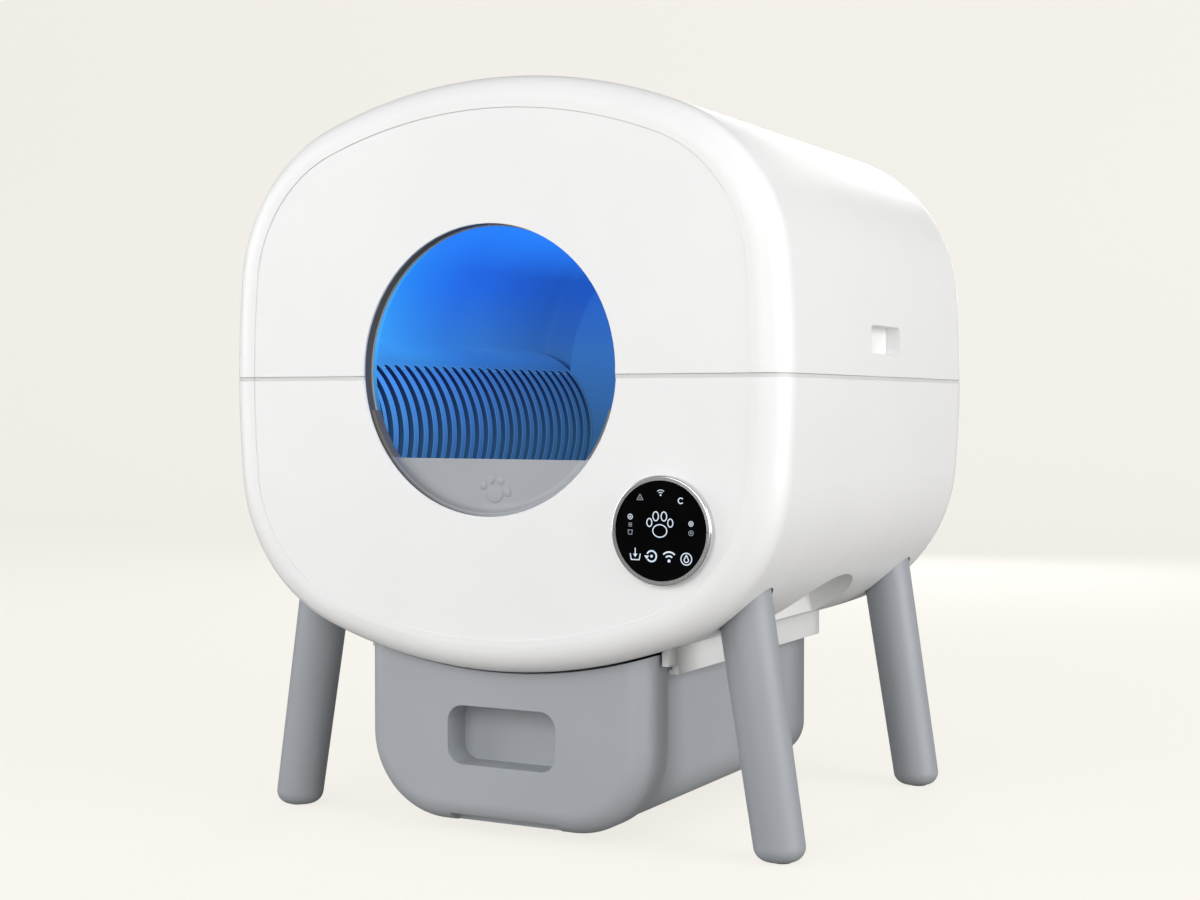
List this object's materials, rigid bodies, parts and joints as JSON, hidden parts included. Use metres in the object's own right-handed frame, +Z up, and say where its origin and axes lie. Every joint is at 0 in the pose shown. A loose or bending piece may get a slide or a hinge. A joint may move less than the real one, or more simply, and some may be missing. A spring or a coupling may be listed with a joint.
{
  "type": "self-cleaning litter box",
  "caption": "Rounded self-cleaning cat litter box on splayed legs, with a turning sieve drum behind a round entry, a round touch display and a pull-out waste drawer below.",
  "frame": {"origin": "on the floor under the middle of the object's box", "axes": "+Z up, +Y to the back, so the entry and the display face -Y, +X to the right seen from the front"},
  "size_m": [0.5506, 0.496, 0.6587],
  "materials": {
    "shell": "satin white moulded plastic",
    "seam": "pale matt plastic",
    "ring": "matt dark grey plastic",
    "grey": "fine matt cool grey plastic",
    "drum": "smooth blue plastic",
    "sieve": "smooth blue plastic",
    "gear": "natural acetal",
    "housing": "pale grey plastic",
    "bracket": "matt black-grey plastic",
    "roller": "matt rubber",
    "rubber": "matt rubber",
    "lamp": "frosted clear plastic",
    "bezel": "polished",
    "glass": "black glass with printed symbols",
    "board": "green solder mask",
    "steel": "zinc plated",
    "motor": "satin",
    "inlet": "black",
    "rail": "satin white moulded plastic"
  },
  "bodies": {
    "base": {"lower_shell": "shell", "seam_band": "seam", "entry_ring": "ring", "ring_screws": "steel", "litter_guard": "grey", "lamp_bar": "housing", "lamp_lens": "lamp", "display_bezel": "bezel", "display_lens": "glass", "display_board": "board", "foot_pads": "rubber", "weight_sensors": "steel", "leg_bolts": "steel", "drive_motor": "motor", "motor_bracket": "bracket", "motor_screws": "steel", "waste_chute": "housing", "rail_screws": "steel", "control_board": "board", "board_screws": "steel", "power_inlet": "inlet", "drawer_rail_left": "rail", "drawer_rail_right": "rail", "leg_front_left": "grey", "roller_bracket_front_left": "bracket", "roller_axle_front_left": "steel", "leg_front_right": "grey", "roller_bracket_front_right": "bracket", "roller_axle_front_right": "steel", "leg_rear_left": "grey", "roller_bracket_rear_left": "bracket", "roller_axle_rear_left": "steel", "leg_rear_right": "grey", "roller_bracket_rear_right": "bracket", "roller_axle_rear_right": "steel"},
    "cover": {"upper_shell": "shell"},
    "drum": {"drum_front": "drum", "drum_rear": "drum", "drum_screws": "steel", "sieve": "sieve", "ring_gear": "gear"},
    "pinion": {"drive_pinion": "gear", "pinion_shaft": "steel"},
    "drawer": {"drawer_front": "grey", "waste_bin": "grey", "drawer_screws": "steel"},
    "roller_front_left": {"roller_front_left": "roller"},
    "roller_front_right": {"roller_front_right": "roller"},
    "roller_rear_left": {"roller_rear_left": "roller"},
    "roller_rear_right": {"roller_rear_right": "roller"}
  },
  "joints": [
    {"name": "drum_spin", "type": "hinge", "parent": "base", "child": "drum", "pos_m": [0, 0, 0.407], "axis": [0, 1, 0], "continuous": true},
    {"name": "pinion_spin", "type": "hinge", "parent": "base", "child": "pinion", "pos_m": [0.17819, 0.094, 0.22881], "axis": [0, 1, 0], "continuous": true},
    {"name": "drawer_slide", "type": "slide", "parent": "base", "child": "drawer", "axis": [0, -1, 0], "range_m": [0, 0.3]},
    {"name": "cover_lift", "type": "slide", "parent": "base", "child": "cover", "axis": [0, 0, 1], "range_m": [0, 0.3]},
    {"name": "roller_front_left_spin", "type": "hinge", "parent": "base", "child": "roller_front_left", "pos_m": [-0.12464, -0.162, 0.229], "axis": [0, 1, 0], "continuous": true},
    {"name": "roller_front_right_spin", "type": "hinge", "parent": "base", "child": "roller_front_right", "pos_m": [0.12464, -0.162, 0.229], "axis": [0, 1, 0], "continuous": true},
    {"name": "roller_rear_left_spin", "type": "hinge", "parent": "base", "child": "roller_rear_left", "pos_m": [-0.12464, 0.143, 0.229], "axis": [0, 1, 0], "continuous": true},
    {"name": "roller_rear_right_spin", "type": "hinge", "parent": "base", "child": "roller_rear_right", "pos_m": [0.12464, 0.143, 0.229], "axis": [0, 1, 0], "continuous": true}
  ],
  "couplings": [
    {"joint": "pinion_spin", "follows": "drum_spin", "ratio": -8},
    {"joint": "roller_front_left_spin", "follows": "drum_spin", "ratio": -14.5},
    {"joint": "roller_front_right_spin", "follows": "drum_spin", "ratio": -14.5},
    {"joint": "roller_rear_left_spin", "follows": "drum_spin", "ratio": -14.5},
    {"joint": "roller_rear_right_spin", "follows": "drum_spin", "ratio": -14.5}
  ]
}
